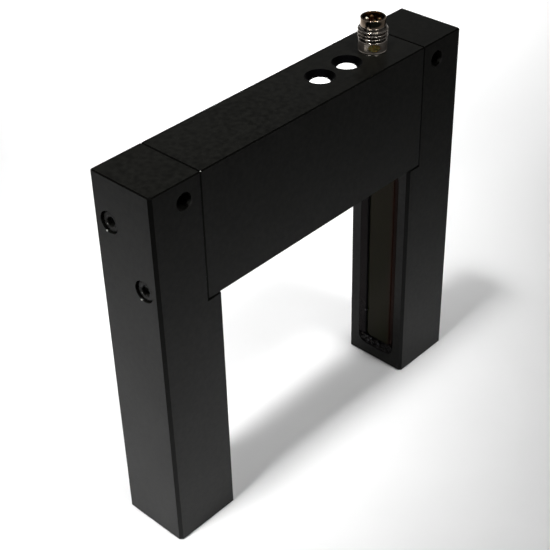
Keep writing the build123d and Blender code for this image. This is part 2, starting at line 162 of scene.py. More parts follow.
def mottled(tree, pattern, first, second):
    # Two colours that take turns in a pattern of noise
    return blend_colours(tree, between(tree, pattern, 0.0, 1.0), first, second)


def raised(tree, height, depth, under=None):
    # A bump of that depth in metres, over another one if there is one
    inputs = {"Height": height, "Distance": depth}
    if under is not None:
        inputs["Normal"] = under
    return add_node(tree, "ShaderNodeBump", inputs).outputs["Normal"]


def edge_share(tree, radius):
    # 0 on a flat face, rising to 1 on a sharp outer edge
    soft = add_node(tree, "ShaderNodeBevel", {"Radius": radius}, samples=6).outputs[0]
    true = add_node(tree, "ShaderNodeNewGeometry").outputs["True Normal"]
    return falling(tree, reckon_vector(tree, "DOT_PRODUCT", soft, true), 0.72, 0.98)


def slanting(tree):
    # 1 on a chamfer, 0 on a face that looks along an axis
    true = add_node(tree, "ShaderNodeNewGeometry").outputs["True Normal"]
    sizes = reckon_vector(tree, "ABSOLUTE", true)
    x, y, z = add_node(tree, "ShaderNodeSeparateXYZ", {0: sizes}).outputs
    largest = reckon(tree, "MAXIMUM", reckon(tree, "MAXIMUM", x, y), z)
    return falling(tree, largest, 0.84, 0.94)


def painted_light_share(tree, centre, radius):
    # 1 within a ragged spot round a place, 0 outside it
    ragged = between(tree, grain(tree, 0.15 * mm), 0.6, 1.2)
    reach = reckon_vector(tree, "DISTANCE", on_piece(tree), centre)
    return falling(tree, times(tree, reach, ragged), 0.5 * radius, radius)


def painted_light_spots(tree, tone, spots, colour=painted_glint_colour):
    # Small painted spots of light, glints and lit patches, each a place and a radius
    for centre, radius in spots:
        tone = blend_colours(tree, painted_light_share(tree, centre, radius), tone, colour)
    return tone


def black_anodised(name, stroke, bores=(), spots=(), lit_patches=(), gloss=0.13):
    # Stroke is how far the last milling strokes draw the grain out along each axis, and gloss is how
    # much the face reflects. Chamfers were cut last, so they are smoother; their darker colour is painted
    # shade. The bores are painted as shade too, black and metallic so that they reflect little. Each bore,
    # painted glint and painted patch of light is a place and a radius
    finish, tree, shader = new_finish(name, anodised_colour, 0.34, {"Specular IOR Level": gloss})
    smudge = grain(tree, 13 * mm, detail=2.0)
    mottle = grain(tree, 1.4 * mm)
    strokes = grain(tree, 0.45 * mm, stretch=stroke)
    blasting = grain(tree, 0.2 * mm, detail=2.0)
    tone = mottled(tree, mottle, anodised_colour, anodised_pale)
    chamfer = slanting(tree)
    # Painted shade: the chamfers are darker in colour
    tone = blend_colours(tree, chamfer, tone, chamfer_shade_colour)
    worn = times(tree, edge_share(tree, 0.08 * mm), rising(tree, mottle, 0.62, 0.70))
    tone = blend_colours(tree, worn, tone, anodised_wear)
    dust = add_node(tree, "ShaderNodeTexVoronoi", {"Vector": on_piece(tree), "Scale": 1 / (1.3 * mm)})
    speck = falling(tree, dust.outputs["Distance"], 0.035, 0.055)
    lot = add_node(tree, "ShaderNodeSeparateColor", {0: dust.outputs["Color"]}).outputs[0]
    settled = times(tree, speck, rising(tree, lot, 0.62, 0.66))
    tone = blend_colours(tree, settled, tone, dust_colour)
    drag = between(tree, strokes, -0.006, 0.006)
    sheen = reckon(tree, "ADD", between(tree, smudge, 0.30, 0.355), drag)
    sheen = blend_values(tree, chamfer, sheen, chamfer_roughness)
    # Painted shade in the bores: black in colour, and metallic so that they reflect almost nothing
    bore_shade = 0.0
    for centre, radius in bores:
        inside = falling(tree, from_axis(tree, centre), radius, radius + 0.05 * mm)
        tone = blend_colours(tree, inside, tone, bore_shade_colour)
        sheen = blend_values(tree, inside, sheen, bore_roughness)
        bore_shade = reckon(tree, "MAXIMUM", bore_shade, inside)
    if bores:
        tree.links.new(bore_shade, shader.inputs["Metallic"])
    # Painted light on the walls of the mounting holes
    tone = painted_light_spots(tree, tone, lit_patches, hole_light_colour)
    # Painted glints
    tone = painted_light_spots(tree, tone, spots)
    link_in(tree, shader, tone, sheen, raised(tree, blasting, 0.009 * mm))
    return finish


def dress(finish, *names):
    # Gives a finish to nodes of the solid model
    for name in names:
        nodes[name].data.materials.clear()
        nodes[name].data.materials.append(finish)


# Painted glints at the foot of the rims of the left leg's counterbores
leg_low, leg_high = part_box("left_leg")
rim_foot = Vector((0, 1.23 * mm, -2.80 * mm))
rim_glint_spots = []
for level, spot_radius in (("upper", 0.27 * mm), ("lower", 0.30 * mm)):
    screw_low, screw_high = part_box(f"left_{level}_screw")
    head_middle = (screw_low + screw_high) / 2
    rim_glint_spots.append((Vector((leg_low.x, head_middle.y, head_middle.z)) + rim_foot, spot_radius))

# Painted light on the lower right wall of each mounting hole
hole_inset = 10.0 * mm
hole_drop = 5.3 * mm
lit_patch_shift = Vector((1.9 * mm, 0.3 * mm, -1.3 * mm))
lit_patch_radius = 0.75 * mm
hole_lit_patches = []
for hole_x in (leg_low.x + hole_inset, -leg_low.x - hole_inset):
    hole_mouth = Vector((hole_x, leg_low.y, leg_high.z - hole_drop))
    hole_lit_patches.append((hole_mouth + lit_patch_shift, lit_patch_radius))

# The right leg's faces reflect a little less than the left leg's: a shaded copy of the finish, which paints
# shade on the right leg
leg_stroke = (1, 1, 0.05)
left_leg_finish = black_anodised("left_leg_anodising", leg_stroke, spots=rim_glint_spots, lit_patches=hole_lit_patches[:1])
right_leg_shaded_finish = black_anodised("right_leg_shaded_anodising", leg_stroke, lit_patches=hole_lit_patches[1:], gloss=0.092)
dress(left_leg_finish, "left_leg")
dress(right_leg_shaded_finish, "right_leg")


# The electronics of the legs. Each leg holds a narrow board with a row of diodes, a black block with a
# bore for each beam, and a clear strip of lenses. They slide into the pocket behind the window.

board_green = (0.02, 0.12, 0.05)
weave_dark = (0.012, 0.09, 0.035)
weave_pale = (0.02, 0.13, 0.055)
track_green = (0.05, 0.22, 0.09)
sleeve_grey = (0.2, 0.2, 0.21)
thread_dark = (0.12, 0.12, 0.13)
thread_pale = (0.3, 0.3, 0.31)
socket_cream = (0.75, 0.72, 0.64)
aperture_black = (0.016, 0.016, 0.016)
diode_clear = (0.72, 0.74, 0.78)
lens_clear = (0.85, 0.86, 0.88)


def moulded(name, colour, roughness, speckle=0.15):
    # Moulded plastic: a slight cloud in the colour and a fine spark-eroded skin
    finish, tree, shader = new_finish(name, colour, roughness)
    cloud = grain(tree, 2.5 * mm, detail=2.0)
    eroded = grain(tree, 0.12 * mm)
    pale = tuple(min(1.0, c * (1 + speckle) + 0.002) for c in colour)
    dark = tuple(c * (1 - speckle) for c in colour)
    sheen = between(tree, eroded, roughness - 0.05, roughness + 0.08)
    link_in(tree, shader, mottled(tree, cloud, dark, pale), sheen, raised(tree, eroded, 0.006 * mm))
    return finish


def circuit_board(name):
    # Green solder mask over a weave of glass, with the copper tracks showing through
    finish, tree, shader = new_finish(name, board_green, 0.32, {"Coat Weight": 0.3})
    upright = {"Vector": on_piece(tree), "Rotation": (math.radians(90), 0, 0)}
    turned = add_node(tree, "ShaderNodeMapping", upright).outputs[0]
    layout = {"Vector": turned, "Scale": 1 / mm, "Mortar Size": 0.09, "Brick Width": 2.6, "Row Height": 0.8}
    shades = {"Color1": (0, 0, 0, 1), "Color2": (0, 0, 0, 1), "Mortar": (1, 1, 1, 1)}
    tracks = add_node(tree, "ShaderNodeTexBrick", {**layout, **shades}).outputs["Color"]
    mask = mottled(tree, grain(tree, 0.3 * mm, stretch=(1, 1, 0.2)), weave_dark, weave_pale)
    tone = blend_colours(tree, tracks, mask, track_green)
    link_in(tree, shader, tone, bump=raised(tree, tracks, 0.03 * mm))
    return finish


def clear_moulding(name, colour, roughness):
    # Clear plastic with faint lines where it flowed into the mould
    finish, tree, shader = new_finish(name, colour, roughness, {"Transmission Weight": 0.9, "IOR": 1.49})
    flow = grain(tree, 1.2 * mm, detail=1.0)
    sheen = between(tree, flow, roughness, roughness + 0.05)
    link_in(tree, shader, sheen=sheen, bump=raised(tree, flow, 0.004 * mm))
    return finish


def sleeve(name):
    # A braided sleeve: two sets of slanting threads
    finish, tree, shader = new_finish(name, sleeve_grey, 0.6)
    braid = []
    for way in ("X", "DIAGONAL"):
        inputs = {"Vector": on_piece(tree), "Scale": 1 / (2.2 * mm), "Distortion": 0.4}
        braid.append(add_node(tree, "ShaderNodeTexWave", inputs, bands_direction=way).outputs["Color"])
    weave = times(tree, *braid)
    tone = blend_colours(tree, weave, thread_dark, thread_pale)
    link_in(tree, shader, tone, bump=raised(tree, weave, 0.08 * mm))
    return finish


board_finish = circuit_board("board_mask")
socket_finish = moulded("socket_nylon", socket_cream, 0.45, speckle=0.05)
diode_finish = clear_moulding("diode_resin", diode_clear, 0.08)
aperture_finish = moulded("aperture_moulding", aperture_black, 0.7)
lens_finish = clear_moulding("lens_acrylic", lens_clear, 0.03)
dress(board_finish, "emitter_board", "receiver_board")
dress(diode_finish, "emitter_diodes", "receiver_diodes")
dress(aperture_finish, "emitter_aperture_block", "receiver_aperture_block")
dress(lens_finish, "emitter_lens_strip", "receiver_lens_strip")
dress(socket_finish, "emitter_board_socket", "receiver_board_socket")
dress(sleeve("lead_sleeve"), "emitter_leads", "receiver_leads")


# The windows. A polished pane of dark red filter plastic lies in a recess in the inner face of each
# leg, on a ledge round the pocket. Poured black compound holds it and seals it all the way round.

pane_low, pane_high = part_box("receiver_window")
bead_low, bead_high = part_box("receiver_window_seal")
inner_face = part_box("right_leg")[0].x
window_middle = (pane_low.z + pane_high.z) / 2
pane_half_width = (pane_high.y - pane_low.y) / 2
pane_half_length = (pane_high.z - pane_low.z) / 2
pane_corner = 1.5 * mm
recess_corner = 3.0 * mm
bare_rim = 4.2 * mm
brim_half_width = 5.00 * mm
brim_corner = 1.8 * mm
brim_shift = -0.74 * mm
lip_half_width = 4.64 * mm
lip_corner = 1.3 * mm
lip_shift = -0.52 * mm
pool_height = 0.8 * mm
burr_height = 16.5 * mm
burr_size = 0.55 * mm
pool_fade_start = pane_low.z + 0.6 * mm
pool_fade_end = pane_low.z + 1.2 * mm
filter_sockets = {"Specular IOR Level": 0.056, "Specular Tint": (1.0, 0.66, 0.56, 1)}
filter_colour = (0.01, 0.008, 0.002)
filter_dark = (0.0042, 0.0066, 0.0013)
filter_pale = (0.0062, 0.0080, 0.0018)
filter_glow_red = (0.0120, 0.0060, 0.0030)
gap_shade_dark = (0.0004, 0.0001, 0.0001)
gap_shade_red = (0.0060, 0.0030, 0.0034)
compound_sockets = {"Specular IOR Level": 0.065, "Specular Tint": (1.0, 0.82, 0.78, 1)}
compound_colour = (0.003, 0.003, 0.004)
compound_dark = (0.0026, 0.0026, 0.0034)
compound_dust = (0.009, 0.009, 0.010)
compound_pool_shade = (0.0010, 0.0010, 0.0014)
compound_gap_shade = (0.0003, 0.0001, 0.0001)
glint_colour = (0.055, 0.055, 0.060)


def across_window(tree):
    # The distance from the window's middle line and the height. The distance is counted towards the
    # bare rim, which lies at the front of the right leg's window and at the back of the left leg's
    x, y, height = add_node(tree, "ShaderNodeSeparateXYZ", {0: on_piece(tree)}).outputs
    facing = reckon(tree, "SIGN", x)
    return times(tree, times(tree, facing, -1.0), y), height


def filter_pane(name):
    # Nearly black. Towards the long edge that the compound leaves bare it has a painted red glow, and along
    # that edge a painted dark red shadow of the gap, metallic so that it reflects little
    finish, tree, shader = new_finish(name, filter_colour, 0.1, filter_sockets)
    offset = across_window(tree)[0]
    wander = grain(tree, 6 * mm, stretch=(1, 1, 0.4), detail=2.0)
    # Painted red glow towards the bare rim
    glow = rising(tree, offset, bare_rim - 1.2 * mm, bare_rim)
    glow = times(tree, glow, between(tree, wander, 0.4, 1.0))
    body = blend_colours(tree, glow, mottled(tree, wander, filter_dark, filter_pale), filter_glow_red)
    # Painted shadow of the gap along the bare rim
    gap = rising(tree, offset, bare_rim, bare_rim + 0.15 * mm)
    gap_shade_tone = mottled(tree, grain(tree, 0.5 * mm), gap_shade_dark, gap_shade_red)
    tone = blend_colours(tree, gap, body, gap_shade_tone)
    scratches = grain(tree, 0.25 * mm, stretch=(1, 0.1, 1))
    sheen = reckon(tree, "MULTIPLY_ADD", gap, 0.5, between(tree, scratches, 0.07, 0.16))
    tree.links.new(gap, shader.inputs["Metallic"])
    link_in(tree, shader, tone, sheen, raised(tree, wander, 0.02 * mm))
    return finish


def poured_compound(name, glints):
    # Black and glossy, with lumps in the pool at the foot, which is painted darker as shade. Past the
    # pane's bare rim it has a painted dark red shade of the gap, metallic so that it reflects little
    finish, tree, shader = new_finish(name, compound_colour, 0.12, compound_sockets)
    ripples = grain(tree, 1.1 * mm, detail=2.0)
    dust = rising(tree, grain(tree, 0.15 * mm), 0.6, 0.8)
    offset, height = across_window(tree)
    # Painted shade: darker in the pool at the foot
    in_pool = falling(tree, height, pool_fade_start, pool_fade_end)
    past_rim = rising(tree, offset, pane_half_width - 0.6 * mm, pane_half_width - 0.4 * mm)
    # Painted dark red shade of the gap past the pane's bare rim
    gap_shade_mask = times(tree, past_rim, rising(tree, height, pool_fade_start, pool_fade_end))
    tone = blend_colours(tree, dust, compound_dark, compound_dust)
    tone = blend_colours(tree, in_pool, tone, compound_pool_shade)
    tone = blend_colours(tree, gap_shade_mask, tone, compound_gap_shade)
    tone = painted_light_spots(tree, tone, glints, glint_colour)
    lumps = times(tree, grain(tree, 1.6 * mm, detail=1.0), in_pool)
    lumpy = raised(tree, lumps, 2.0 * mm, under=raised(tree, ripples, 0.05 * mm))
    tree.links.new(gap_shade_mask, shader.inputs["Metallic"])
    link_in(tree, shader, tone, between(tree, ripples, 0.08, 0.16), lumpy)
    return finish


def skin(name, loops, finish, closed=False, capped=False, crease=35):
    # A mesh through a row of loops that have as many points each
    shape = bmesh.new()
    rows = [[shape.verts.new(point) for point in loop] for loop in loops]
    followers = rows[1:] + rows[:1] if closed else rows[1:]
    for lower, upper in zip(rows, followers):
        for i in range(len(lower)):
            j = (i + 1) % len(lower)
            shape.faces.new((lower[i], lower[j], upper[j], upper[i]))
    if capped:
        shape.faces.new(rows[0])
        shape.faces.new(rows[-1])
    bmesh.ops.recalc_face_normals(shape, faces=shape.faces)
    mesh = bpy.data.meshes.new(name)
    shape.to_mesh(mesh)
    shape.free()
    mesh.polygons.foreach_set("use_smooth", [True] * len(mesh.polygons))
    mesh.set_sharp_from_angle(angle=math.radians(crease))
    mesh.materials.append(finish)
    piece = bpy.data.objects.new(name, mesh)
    bpy.context.scene.collection.objects.link(piece)
    return piece


def rounded_outline(half_width, half_length, corner, shift=0.0):
    # Round a rounded rectangle, with as many points on each side and corner whatever its size
    corner_steps = 10
    end_steps = 28
    side_steps = 180
    flat = half_width - corner
    tall = half_length - corner
    turns = (
        (flat, tall, Vector((-2 * flat, 0)), end_steps),
        (-flat, tall, Vector((0, -2 * tall)), side_steps),
        (-flat, -tall, Vector((2 * flat, 0)), end_steps),
        (flat, -tall, Vector((0, 2 * tall)), side_steps),
    )
    points = []
    for quarter, (x, z, run, steps) in enumerate(turns):
        for k in range(corner_steps + 1):
            angle = math.radians(90 * (quarter + k / corner_steps))
            points.append(Vector((shift + x + corner * math.cos(angle), z + corner * math.sin(angle))))
        points += [points[-1] + run * k / steps for k in range(1, steps)]
    return points


def eased(value):
    # From 0 to 1 without a corner
    value = min(1.0, max(0.0, value))
    return value * value * (3 - 2 * value)


def window_bead(name, node, side):
    # Along one long side the compound is nearly flush with the leg and laps over the pane in a steep
    # lip. Along the other it sank to the pane and left its rim bare, and at the foot it lies in lumps
    gap = 0.02 * mm
    wall_depth = bead_low.x - inner_face
    pane_depth = pane_low.x - inner_face
    ledge_depth = bead_high.x - inner_face - gap
    recess_half_width = (bead_high.y - bead_low.y) / 2 - gap
    recess_half_length = (bead_high.z - bead_low.z) / 2 - gap
    outer = rounded_outline(recess_half_width, recess_half_length, recess_corner)
    brim = rounded_outline(brim_half_width, pane_half_length + 0.1 * mm, brim_corner, shift=brim_shift)
    lip = rounded_outline(lip_half_width, pane_half_length - 0.35 * mm, lip_corner, shift=lip_shift)
    pane_edge = rounded_outline(pane_half_width + gap, pane_half_length + gap, pane_corner + gap)
    pool_top = pool_height - pane_half_length
    burr_middle = burr_height - window_middle

    def laid(outline_point, depth):
        return Vector((side * (inner_face + depth), side * outline_point.x, window_middle + outline_point.y))

    def uneven(point, size, seed):
        return noise.noise(Vector((point.x / size, point.y / size, seed + 7.3 * side)))

    def ring(share, fall):
        # Share runs from the wall to the brim, fall from the brim to the lip
        loop = []
        for wall, top, foot in zip(outer, brim, lip):
            pooled = eased((pool_top - foot.y) / (1.2 * mm))
            sunk = eased((-foot.x - 3.4 * mm) / (1.0 * mm)) * eased((foot.y - pool_top) / (2.0 * mm) - 0.2)
            stray = uneven(foot, 5 * mm, 1.0) * 0.08 * mm + uneven(foot, 1.6 * mm, 5.0) * 0.04 * mm
            stray += pooled * (0.25 * mm + uneven(foot, 1.5 * mm, 4.0) * 0.6 * mm)
            if foot.x > 0:
                stray += burr_size * math.exp(-(((foot.y - burr_middle) / (0.3 * mm)) ** 2))
            inward = (foot - wall).normalized() * stray
            if fall == 0:
                place = wall.lerp(top + inward, share)
            else:
                place = (top + inward).lerp(foot + inward, fall)
            brim_depth = wall_depth + (0.42 + uneven(place, 3.2 * mm, 9.0) * 0.08) * mm
            lumps = 0.1 + uneven(place, 1.2 * mm, 6.0) * 0.75 + uneven(place, 0.6 * mm, 2.0) * 0.3
            brim_depth += pooled * lumps * mm
            wall_here = wall_depth + pooled * (0.12 + uneven(wall, 1.1 * mm, 3.0) * 0.25) * mm
            level = pane_depth - 0.06 * mm
            brim_depth += (level - brim_depth) * sunk
            wall_here += (level - wall_here) * sunk
            depth = wall_here + (brim_depth - wall_here) * share
            if fall > 0:
                depth = brim_depth + (pane_depth - 0.03 * mm - brim_depth) * eased(fall)
            loop.append(laid(place, min(max(depth, wall_depth), pane_depth - 0.012 * mm)))
        return loop

    loops = [[laid(point, ledge_depth) for point in outer]]
    loops += [ring(share, 0) for share in (0, 0.1, 0.25, 0.45, 0.65, 0.85, 1)]
    loops += [ring(1, fall) for fall in (0.1, 0.22, 0.35, 0.5, 0.65, 0.78, 0.9, 1)]
    for depth in (pane_depth - 0.004 * mm, ledge_depth):
        loops.append([laid(point, depth) for point in pane_edge])
    bead = skin(name, loops, compound_finish, closed=True, crease=60)
    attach(bead, "root")
    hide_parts(node)


# Glints on the lumps and the burr: how far across, how high and how large, in millimetres
glint_sizes = (
    (3.6, 6.6, 0.35),
    (3.1, 5.3, 0.42),
    (2.0, 6.5, 0.3),
    (-0.8, 5.8, 0.5),
    (4.5, 16.5, 0.3),
)
glint_depth = 0.4 * mm
compound_glints = []
for across, height, radius in glint_sizes:
    glint = Vector((inner_face + glint_depth, across * mm, height * mm))
    compound_glints.append((glint, radius * mm))
compound_finish = poured_compound("black_compound", compound_glints)
dress(filter_pane("filter_plastic"), "emitter_window", "receiver_window")
window_bead("emitter_window_bead", "emitter_window_seal", -1)
window_bead("receiver_window_bead", "receiver_window_seal", 1)


# The main board. It stands upright in two grooves of the crossbar, with its components on the front
# and a socket at each end for the leads from the legs.

chip_black = (0.022, 0.022, 0.024)
chip_finish = moulded("chip_moulding", chip_black, 0.55)
dress(board_finish, "main_board")
dress(chip_finish, "processor", "signal_amplifier", "voltage_regulator", "small_components")
dress(socket_finish, "emitter_leads_socket", "receiver_leads_socket")


# The crossbar. A solid bar of the same aluminium and finish, slotted from end to end for the board. It is
# let into the step of each leg and closes the legs' wire channels.

bar_low, bar_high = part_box("crossbar")
bar_stroke = (0.05, 1, 1)
indicator_rim_radius = 4.05 * mm
indicator_bores = []
for side in ("left", "right"):
    lens_low, lens_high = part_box(f"{side}_indicator_lens")
    indicator_bores.append(((lens_low + lens_high) / 2, indicator_rim_radius))

# A painted glint on the bar's top left corner
corner_glint_place = Vector((bar_low.x + 0.25 * mm, bar_low.y + 0.15 * mm, bar_high.z - 0.05 * mm))
corner_glint_spots = [(corner_glint_place, 0.21 * mm)]
dress(black_anodised("crossbar_anodising", bar_stroke, indicator_bores, corner_glint_spots), "crossbar")


# The cap screws. Two M3 socket head screws of blackened steel go through each leg into the end of the
# crossbar. Their heads sit in counterbores, just below the face of the leg.

steel_colour = (0.004, 0.004, 0.004)
steel_dark = (0.0020, 0.0020, 0.0016)
steel_brown = (0.0070, 0.0068, 0.0058)
steel_worn = (0.20, 0.19, 0.18)
head_radius = 2.75 * mm
head_height = 3.0 * mm
head_rounding = 0.3 * mm
seat_bevel = 0.12 * mm
knurl_depth = 0.1 * mm
key_half_width = 1.25 * mm
key_depth = 1.1 * mm
key_cone_depth = 0.3 * mm
key_mouth_radius = 1.58 * mm
key_throat_radius = 1.5 * mm
shank_radius = 1.5 * mm
shank_tip = 0.3 * mm
screw_pitch = 0.5 * mm
thread_depth = 0.27 * mm
points_round_screw = 48
rings_per_turn = 6
rounding_steps = 4


def blackened_steel(name, spots):
    # Oily steel, worn bright along its edges
    finish, tree, shader = new_finish(name, steel_colour, 0.34, {"Specular IOR Level": 0.15})
    oil = grain(tree, 0.8 * mm)
    worn = times(tree, edge_share(tree, 0.07 * mm), rising(tree, oil, 0.5, 0.62))
    tone = blend_colours(tree, worn, mottled(tree, oil, steel_dark, steel_brown), steel_worn)
    # The spots are painted glints
    tone = painted_light_spots(tree, tone, spots)
    pits = raised(tree, grain(tree, 0.1 * mm), 0.004 * mm)
    link_in(tree, shader, tone, between(tree, oil, 0.24, 0.42), pits)
    return finish


# Painted glints on the rim of each key socket of the left leg's screws
key_glint_shift = Vector((0, 1.35 * mm, -1.15 * mm))
key_glint_spots = []
for level in ("upper", "lower"):
    screw_low, screw_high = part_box(f"left_{level}_screw")
    head_middle = (screw_low + screw_high) / 2
    key_glint_spots.append((Vector((screw_low.x, head_middle.y, head_middle.z)) + key_glint_shift, 0.2 * mm))
steel_finish = blackened_steel("blackened_steel", key_glint_spots)


def thread_share(height, turn):
    # How far the thread stands out at a height, from 0 in its root to 1 on its crest
    off_crest = abs(2 * ((height / screw_pitch - turn) % 1.0) - 1)
    return min(1.0, max(0.0, (0.62 - off_crest) / 0.4))


def cap_screw(name, node):
    # Drawn upwards from the seat of its head, then turned to point out of its leg
    low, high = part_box(node)
    shank = high.x - low.x - head_height
    turns = [i / points_round_screw for i in range(points_round_screw)]

    def loop_at(height, reaches):
        # Points at a height, each as far from the axis as its reach says
        loop = []
        for turn, reach in zip(turns, reaches):
            angle = 2 * math.pi * turn
            loop.append(Vector((reach * math.cos(angle), reach * math.sin(angle), height)))
        return loop

    def ring(radius, height, knurl=0.0):
        return loop_at(height, [radius - knurl * (i % 2) for i in range(points_round_screw)])

    def threaded(height):
        cuts = [1 - thread_share(height, turn) for turn in turns]
        return loop_at(height, [shank_radius - thread_depth * cut for cut in cuts])

    def hexagon(height):
        off_flats = [(2 * math.pi * turn + math.pi / 6) % (math.pi / 3) - math.pi / 6 for turn in turns]
        return loop_at(height, [key_half_width / math.cos(off_flat) for off_flat in off_flats])

    loops = [ring(0.35 * mm, -shank), ring(shank_radius - shank_tip, -shank)]
    steps = round((shank - shank_tip) / screw_pitch * rings_per_turn)
    for k in range(steps + 1):
        height = -shank + shank_tip + (shank - shank_tip) * k / steps
        loops.append(threaded(height) if 0 < k < steps else ring(shank_radius, height))
    head = (
        (head_radius - seat_bevel, 0, 0),
        (head_radius, seat_bevel, 0),
        (head_radius, 0.3 * mm, 0),
        (head_radius, 0.36 * mm, knurl_depth),
        (head_radius, head_height - 0.5 * mm, knurl_depth),
        (head_radius, head_height - 0.42 * mm, 0),
    )
    loops += [ring(radius, height, knurl) for radius, height, knurl in head]
    for k in range(rounding_steps + 1):
        angle = math.radians(90 * k / rounding_steps)
        radius = head_radius - head_rounding + head_rounding * math.cos(angle)
        loops.append(ring(radius, head_height - head_rounding + head_rounding * math.sin(angle)))
    key_floor = head_height - key_depth
    loops += [ring(key_mouth_radius, head_height), ring(key_throat_radius, head_height - 0.05 * mm)]
    loops += [hexagon(head_height - 0.12 * mm), hexagon(key_floor)]
    loops += [ring(0.7 * mm, key_floor), ring(0.12 * mm, key_floor - key_cone_depth)]
    screw = skin(name, loops, steel_finish, capped=True, crease=28)
    outward = -1 if low.x < 0 else 1
    seat_x = high.x - head_height if outward > 0 else low.x + head_height
    seat = Vector((seat_x, (low.y + high.y) / 2, (low.z + high.z) / 2))
    stand = Matrix.Rotation(math.radians(90 * outward), 4, "Y")
    screw.data.transform(Matrix.Translation(seat) @ stand)
    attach(screw, "root")
    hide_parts(node)


for side in ("left", "right"):
    for level in ("upper", "lower"):
        cap_screw(f"{side}_{level}_cap_screw", f"{side}_{level}_screw")


# The indicators. Two white light guides sit in countersunk bores in the top of the crossbar, each over
# a small diode on the lowered edge of the board.

milky_white = (0.92, 0.92, 0.9)
milky_dark = (0.88, 0.88, 0.86)
milky_pale = (0.95, 0.95, 0.94)
milky_glow = (1.0, 1.0, 0.98, 1)


def milky_plastic(name):
    # A faint glow stands for the light that scatters inside it
    sockets = {"Coat Weight": 0.3, "Emission Color": milky_glow, "Emission Strength": 0.5}
    finish, tree, shader = new_finish(name, milky_white, 0.35, sockets)
    cloud = grain(tree, 0.9 * mm)
    tone = mottled(tree, cloud, milky_dark, milky_pale)
    link_in(tree, shader, tone, bump=raised(tree, cloud, 0.01 * mm))
    return finish


dress(milky_plastic("milky_light_guide"), "left_indicator_lens", "right_indicator_lens")
dress(diode_finish, "left_indicator_diode", "right_indicator_diode")


# The plug. Turned from brass bar and nickel-plated: a stem with a sealing ring in the crossbar, a collar
# with an oval window, three level ridges for the M8 thread, a cone and a thin barrel. An amber light
# guide shows in the window, and the brown insert in the barrel holds four gold-plated pins.

shell_low, shell_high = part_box("connector_shell")
plug_axis = (shell_low + shell_high) / 2
bar_top = bar_high.z
collar_radius = 3.87 * mm
collar_height = 3.1 * mm
collar_wall_radius = 3.80 * mm
collar_round = 0.24 * mm
neck_radius = 3.55 * mm
thread_radius = 4.0 * mm
crest_round = 0.07 * mm
crest_half_flat = 0.04 * mm
ridge_heights = (4.0 * mm, 4.95 * mm, 5.9 * mm)
cone_top = 6.8 * mm
barrel_radius = 3.35 * mm
barrel_top = shell_high.z - bar_top
bore_radius = 3.03 * mm
bore_round = 0.08 * mm
stem_radius = 3.5 * mm
stem_bore_radius = 2.45 * mm
stem_foot = shell_low.z - bar_top
groove_low = -2.5 * mm
groove_high = -1.9 * mm
groove_floor = 2.9 * mm
guide_foot = 0.3 * mm
edge_round = 0.12 * mm
window_angle = math.radians(226)
window_height = 1.72 * mm
window_half_width = 1.65 * mm
window_half_height = 1.1 * mm
nickel_colour = (0.52, 0.47, 0.42)
nickel_tarnish = (0.38, 0.33, 0.28)
barrel_reflection_tint = (0.95, 0.82, 0.70)
root_dark_colour = (0.06, 0.055, 0.045)
reflection_patch_colour = (0.035, 0.035, 0.028)
gold_colour = (0.42, 0.25, 0.11)
gold_tarnish = (0.24, 0.13, 0.06)
tip_glint_colour = (0.98, 0.92, 0.80)
collar_roughness = 0.34
thread_roughness = 0.25
tip_glint_roughness = 0.7

# A painted dark reflection in a patch near the rim of the barrel, on the side towards the camera
reflection_patch_angle = math.radians(221)
reflection_patch_drop = 0.95 * mm
reflection_patch_size = (2.5 * mm, 2.5 * mm, 0.95 * mm)
reflection_patch_side = Vector((math.cos(reflection_patch_angle), math.sin(reflection_patch_angle), 0))
reflection_patch_height = bar_top + barrel_top - reflection_patch_drop
reflection_patch_place = Vector((plug_axis.x, plug_axis.y, reflection_patch_height)) + barrel_radius * reflection_patch_side


def turned_metal(name, colour, tarnish, roughness, surface_marks=None, spots=()):
    # Plated metal with the fine rings that turning leaves. The marks function dulls and darkens it in places
    # and paints reflections on it, and each spot, a painted highlight, is a place and a radius
    finish, tree, shader = new_finish(name, colour, roughness, {"Metallic": 1.0})
    reach = from_axis(tree, plug_axis)
    height = add_node(tree, "ShaderNodeSeparateXYZ", {0: on_piece(tree)}).outputs["Z"]
    rings = add_node(tree, "ShaderNodeCombineXYZ", {0: reach, 2: height}).outputs[0]
    fine_rings = {"Vector": rings, "Scale": 1 / (0.09 * mm), "Detail": 2.0}
    cut = add_node(tree, "ShaderNodeTexNoise", fine_rings).outputs[0]
    cloud = grain(tree, 1.5 * mm)
    tone = mottled(tree, cloud, colour, tarnish)
    polish = between(tree, cut, roughness - 0.02, roughness + 0.04)
    sheen = reckon(tree, "ADD", polish, between(tree, cloud, 0.0, 0.04))
    if surface_marks:
        tone, sheen = surface_marks(tree, reach, height, cloud, tone, sheen)
    # Painted highlights
    for centre, radius in spots:
        glint_here = painted_light_share(tree, centre, radius)
        tone = blend_colours(tree, glint_here, tone, tip_glint_colour)
        sheen = blend_values(tree, glint_here, sheen, tip_glint_roughness)
    link_in(tree, shader, tone, sheen, raised(tree, cut, 0.0035 * mm))
    return finish


